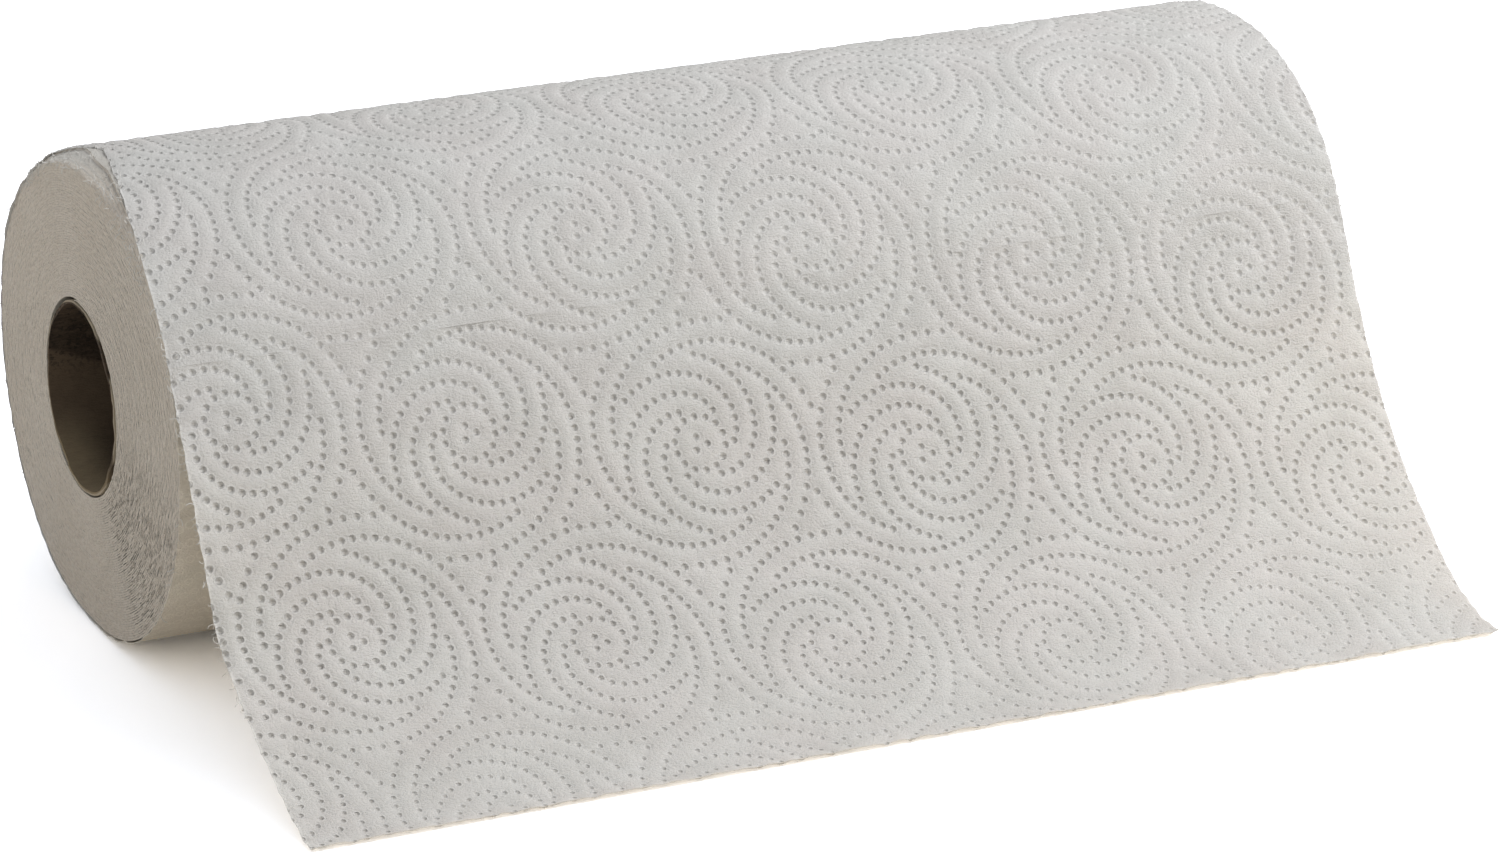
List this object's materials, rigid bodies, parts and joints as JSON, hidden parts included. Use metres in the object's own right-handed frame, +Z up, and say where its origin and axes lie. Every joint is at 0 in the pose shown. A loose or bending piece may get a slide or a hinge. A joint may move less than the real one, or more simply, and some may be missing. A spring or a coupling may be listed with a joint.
{
  "type": "paper towel roll",
  "caption": "Roll of dot-embossed two-ply kitchen paper wound on a card tube, lying on its side with the loose end drawn forward.",
  "frame": {"origin": "middle of the card tube's bore", "axes": "+X along the roll, +Y to the back, +Z up; the loose end of the paper comes off towards -Y"},
  "size_m": [0.2794, 0.1804, 0.105],
  "materials": {
    "towel_paper": "soft matt tissue, warm off-white",
    "core_card": "matt grey-brown board"
  },
  "bodies": {
    "root": {"paper_roll": "towel_paper", "core_tube": "core_card"}
  },
  "joints": []
}
